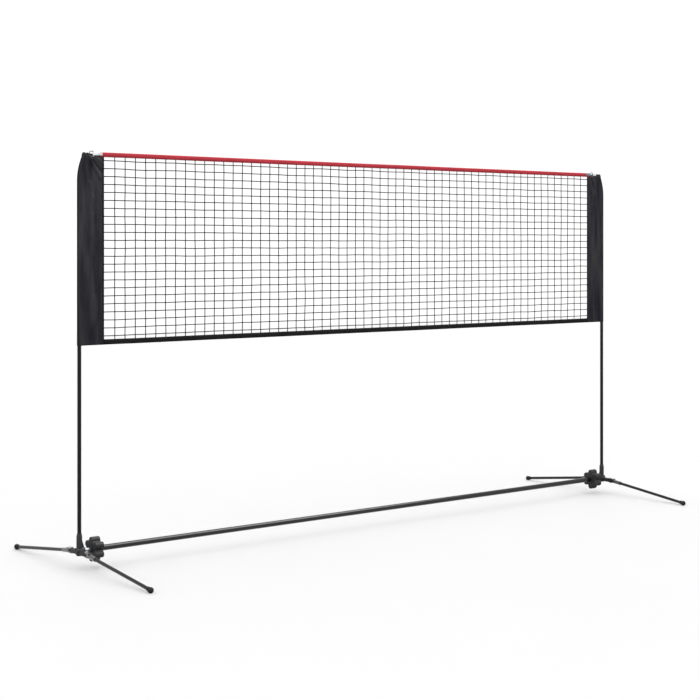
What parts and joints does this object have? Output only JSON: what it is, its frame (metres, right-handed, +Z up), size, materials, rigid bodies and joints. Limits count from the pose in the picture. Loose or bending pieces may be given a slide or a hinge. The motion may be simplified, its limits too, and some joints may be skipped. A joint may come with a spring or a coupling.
{
  "type": "portable badminton net",
  "caption": "Free-standing badminton net on folding feet, with telescoping posts, a floor crossbar held by star knobs, side sleeves and a red top tape.",
  "frame": {"origin": "on the floor, midway between the two posts", "axes": "+X along the net to the right post, +Y across the net to the rear, +Z up"},
  "size_m": [2.908, 1.022, 1.5597],
  "materials": {
    "ball_rubber": "matt black",
    "bar_paint": "gloss black",
    "black_tape": "woven polyester",
    "bright_tube": "bright drawn steel",
    "cap_plastic": "moulded",
    "cast_bracket": "satin black powder coat",
    "foot_paint": "satin dark grey",
    "knob_plastic": "textured moulded plastic",
    "loop_cord": "braided cord",
    "net_cord": "twisted nylon cord",
    "nylon": "moulded nylon",
    "post_paint": "semi-gloss black",
    "red_tape": "woven polyester",
    "ring_metal": "black oxide",
    "rope": "braided rope",
    "sleeve_fabric": "woven polyester",
    "strap_webbing": "woven webbing",
    "zinc": "zinc plated"
  },
  "bodies": {
    "base": {"bar_button_springs": "zinc", "bar_joiners": "bright_tube", "foot_pivot_pins": "zinc", "knob_washers": "nylon", "left_bar_collet": "nylon", "left_bar_section": "bar_paint", "left_end_bracket": "cast_bracket", "left_lower_post": "post_paint", "left_spigot_tube": "bright_tube", "middle_bar_section": "bar_paint", "post_bushes": "nylon", "right_bar_collet": "nylon", "right_bar_section": "bar_paint", "right_end_bracket": "cast_bracket", "right_lower_post": "post_paint", "right_spigot_tube": "bright_tube"},
    "net": {"bottom_tape": "black_tape", "edge_ropes": "rope", "height_button_springs": "zinc", "left_corner_loop": "loop_cord", "left_corner_ring": "ring_metal", "left_corner_strap": "strap_webbing", "left_post_cap": "cap_plastic", "left_sleeve": "sleeve_fabric", "left_upper_post": "post_paint", "net_level_cords": "net_cord", "net_upright_cords": "net_cord", "post_guides": "nylon", "right_corner_loop": "loop_cord", "right_corner_ring": "ring_metal", "right_corner_strap": "strap_webbing", "right_post_cap": "cap_plastic", "right_sleeve": "sleeve_fabric", "right_upper_post": "post_paint", "top_tape": "red_tape"},
    "left_front_foot": {"left_front_foot_ball": "ball_rubber", "left_front_foot_hinge": "cast_bracket", "left_front_foot_tube": "foot_paint"},
    "left_rear_foot": {"left_rear_foot_ball": "ball_rubber", "left_rear_foot_hinge": "cast_bracket", "left_rear_foot_tube": "foot_paint"},
    "left_star_knob": {"left_knob_insert": "nylon", "left_star_knob": "knob_plastic"},
    "left_height_button": {"left_height_button": "zinc"},
    "left_bar_button": {"left_bar_button": "zinc"},
    "right_front_foot": {"right_front_foot_ball": "ball_rubber", "right_front_foot_hinge": "cast_bracket", "right_front_foot_tube": "foot_paint"},
    "right_rear_foot": {"right_rear_foot_ball": "ball_rubber", "right_rear_foot_hinge": "cast_bracket", "right_rear_foot_tube": "foot_paint"},
    "right_star_knob": {"right_knob_insert": "nylon", "right_star_knob": "knob_plastic"},
    "right_height_button": {"right_height_button": "zinc"},
    "right_bar_button": {"right_bar_button": "zinc"}
  },
  "joints": [
    {"name": "net_height", "type": "slide", "parent": "base", "child": "net", "axis": [0, 0, 1], "range_m": [-0.58, 0], "deforming": ["height_button_springs", "left_height_button", "right_height_button"]},
    {"name": "left_front_foot_fold", "type": "hinge", "parent": "base", "child": "left_front_foot", "pos_m": [-1.44, -0.057, 0.064], "axis": [0, 0, 1], "range_deg": [0, 90]},
    {"name": "left_rear_foot_fold", "type": "hinge", "parent": "base", "child": "left_rear_foot", "pos_m": [-1.44, 0.057, 0.064], "axis": [0, 0, -1], "range_deg": [0, 90]},
    {"name": "right_front_foot_fold", "type": "hinge", "parent": "base", "child": "right_front_foot", "pos_m": [1.44, -0.057, 0.064], "axis": [0, 0, -1], "range_deg": [0, 90]},
    {"name": "right_rear_foot_fold", "type": "hinge", "parent": "base", "child": "right_rear_foot", "pos_m": [1.44, 0.057, 0.064], "axis": [0, 0, 1], "range_deg": [0, 90]},
    {"name": "left_knob_turn", "type": "hinge", "parent": "base", "child": "left_star_knob", "pos_m": [-1.375, 0, 0.07], "axis": [1, 0, 0], "continuous": true},
    {"name": "right_knob_turn", "type": "hinge", "parent": "base", "child": "right_star_knob", "pos_m": [1.375, 0, 0.07], "axis": [-1, 0, 0], "continuous": true},
    {"name": "left_height_button_press", "type": "slide", "parent": "net", "child": "left_height_button", "axis": [0, -1, 0], "range_m": [0, 0.0016], "stiffness_N_per_m": 900, "deforming": ["height_button_springs"]},
    {"name": "right_height_button_press", "type": "slide", "parent": "net", "child": "right_height_button", "axis": [0, -1, 0], "range_m": [0, 0.0016], "stiffness_N_per_m": 900, "deforming": ["height_button_springs"]},
    {"name": "left_bar_button_press", "type": "slide", "parent": "base", "child": "left_bar_button", "axis": [0, -1, 0], "range_m": [0, 0.0022], "stiffness_N_per_m": 900, "deforming": ["bar_button_springs"]},
    {"name": "right_bar_button_press", "type": "slide", "parent": "base", "child": "right_bar_button", "axis": [0, -1, 0], "range_m": [0, 0.0022], "stiffness_N_per_m": 900, "deforming": ["bar_button_springs"]}
  ]
}
